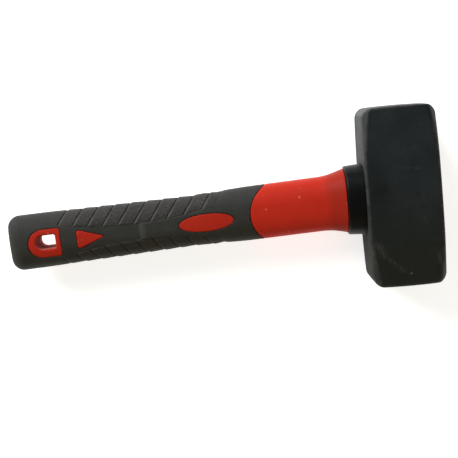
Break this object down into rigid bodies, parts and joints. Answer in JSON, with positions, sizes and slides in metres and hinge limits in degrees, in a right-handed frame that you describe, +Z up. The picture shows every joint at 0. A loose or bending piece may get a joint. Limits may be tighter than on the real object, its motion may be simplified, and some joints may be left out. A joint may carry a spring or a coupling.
{
  "type": "club hammer",
  "caption": "Short-handled two-faced hammer: octagonal-ended forged head on a glass-fibre handle with a two-colour moulded grip and hanging hole.",
  "frame": {"origin": "middle of the lower cheek, under the axis of the eye", "axes": "+Z up out of the upper cheek, +Y along the head from face to face, handle leaving towards -X"},
  "size_m": [0.2694, 0.111, 0.045],
  "materials": {
    "painted_head": "satin black paint over forged steel",
    "resin": "poured and hardened resin",
    "glass_fibre": "cut pultruded rod",
    "red_plastic": "satin moulded polypropylene",
    "grey_rubber": "fine matte moulded texture",
    "black_rubber": "satin moulded"
  },
  "bodies": {
    "root": {"head": "painted_head", "eye_resin": "resin", "core_rod": "glass_fibre", "jacket": "red_plastic", "grip": "grey_rubber", "collar": "black_rubber"}
  },
  "joints": []
}
